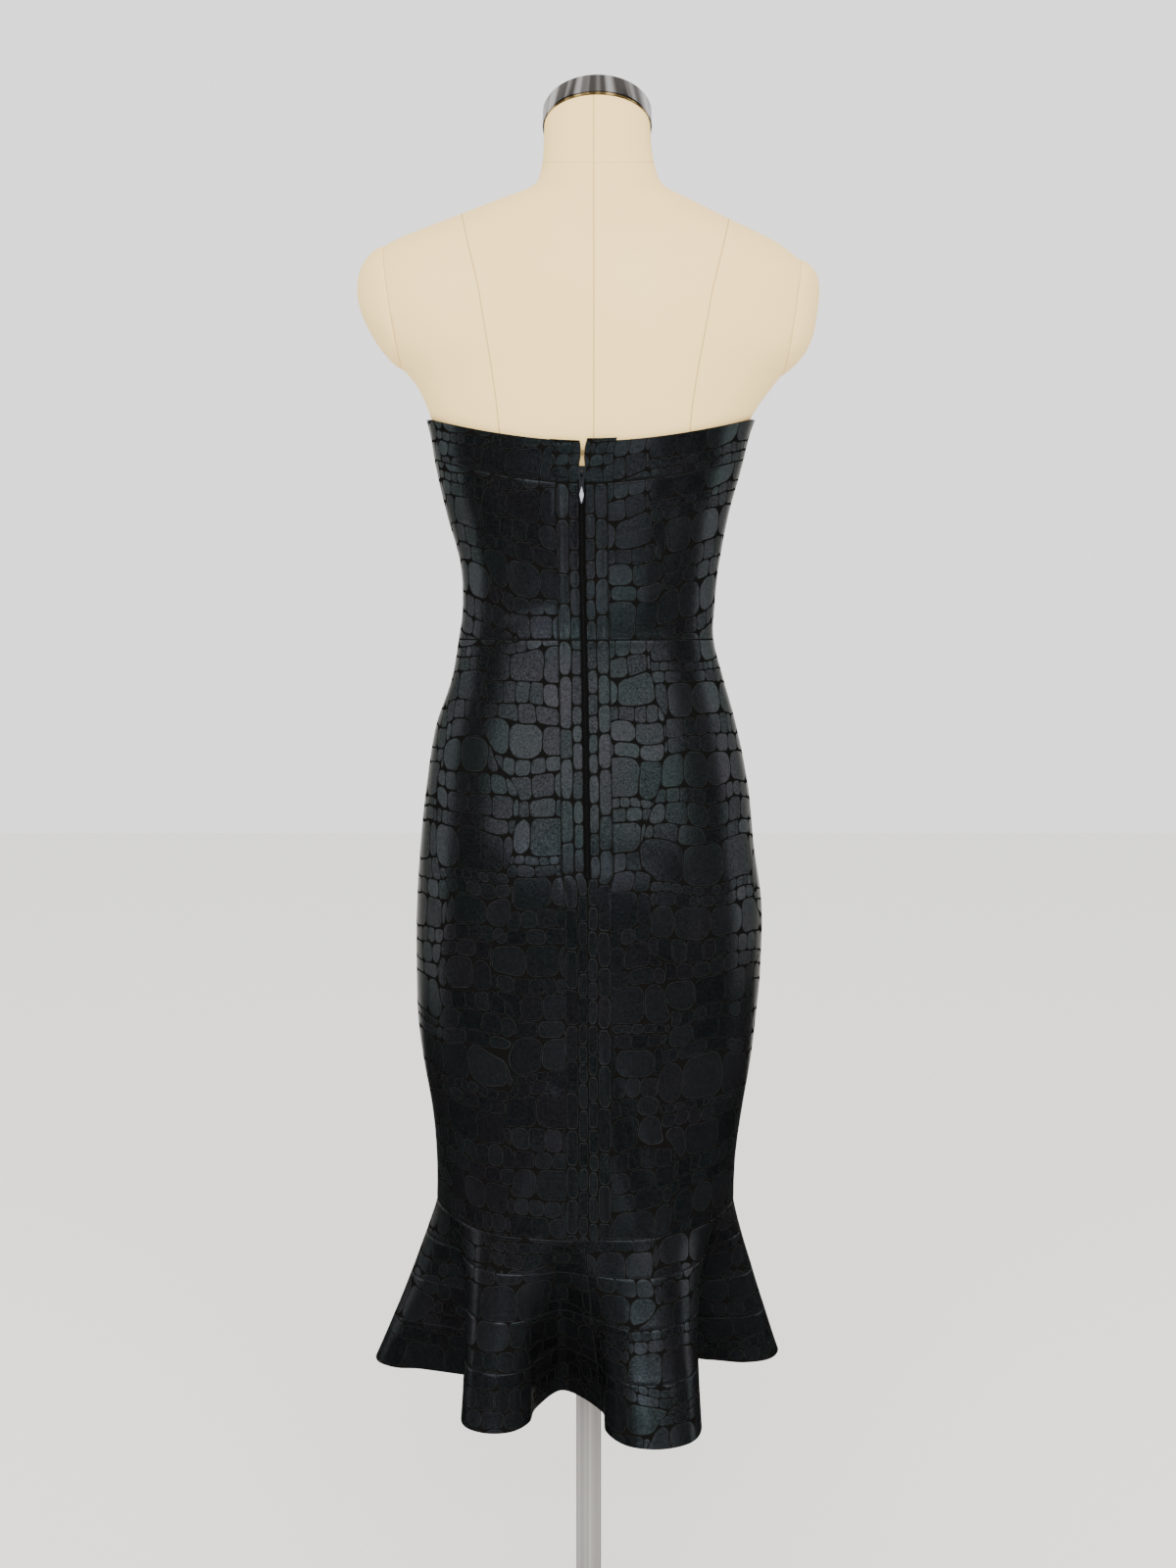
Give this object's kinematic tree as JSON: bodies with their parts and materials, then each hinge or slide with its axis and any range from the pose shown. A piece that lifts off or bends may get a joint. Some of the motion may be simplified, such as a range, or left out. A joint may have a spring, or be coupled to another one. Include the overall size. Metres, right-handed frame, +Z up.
{
  "type": "bodycon dress on dress form",
  "caption": "Strapless fitted midi dress with back zip and fluted flounce, worn by a limbless dress form on a pole stand.",
  "frame": {"origin": "centre of the base's underside, on the floor under the pole", "axes": "+Z up along the pole, +Y towards the back of the dress, where the zip is, +X towards the dress's left side seen from behind"},
  "size_m": [0.431, 0.3687, 1.5618],
  "materials": {
    "printed_cloth": "black stretch cloth with glossy foil crocodile cells",
    "zip_tape": "matte woven tape",
    "zip_coil": "satin nylon coil",
    "zip_metal": "polished dark metal",
    "form_linen": "matte cream linen",
    "brushed_metal": "brushed steel"
  },
  "bodies": {
    "dress_form": {"top_band_front": "printed_cloth", "top_band_back_left": "printed_cloth", "top_band_back_right": "printed_cloth", "bodice_front": "printed_cloth", "bodice_back_left": "printed_cloth", "bodice_back_right": "printed_cloth", "skirt_front": "printed_cloth", "skirt_back_left": "printed_cloth", "skirt_back_right": "printed_cloth", "flounce_band_1": "printed_cloth", "flounce_band_2": "printed_cloth", "flounce_band_3": "printed_cloth", "flounce_band_4": "printed_cloth", "band_block_left": "printed_cloth", "band_block_right": "printed_cloth", "zip_tape_left": "zip_tape", "zip_tape_right": "zip_tape", "zip_coil": "zip_coil", "zip_slider": "zip_metal", "hook_and_eye": "zip_metal", "form_torso": "form_linen", "form_arm_cap_left": "form_linen", "form_arm_cap_right": "form_linen", "neck_cap": "brushed_metal", "pole_flange": "brushed_metal", "pole": "brushed_metal", "base": "brushed_metal"},
    "zip_pull": {"zip_pull_tab": "zip_metal"}
  },
  "joints": [
    {"name": "pull_tab_hinge", "type": "hinge", "parent": "dress_form", "child": "zip_pull", "pos_m": [0.0065, 0.09869, 1.17829], "axis": [1, 0, 0], "range_deg": [-10, 165]}
  ]
}
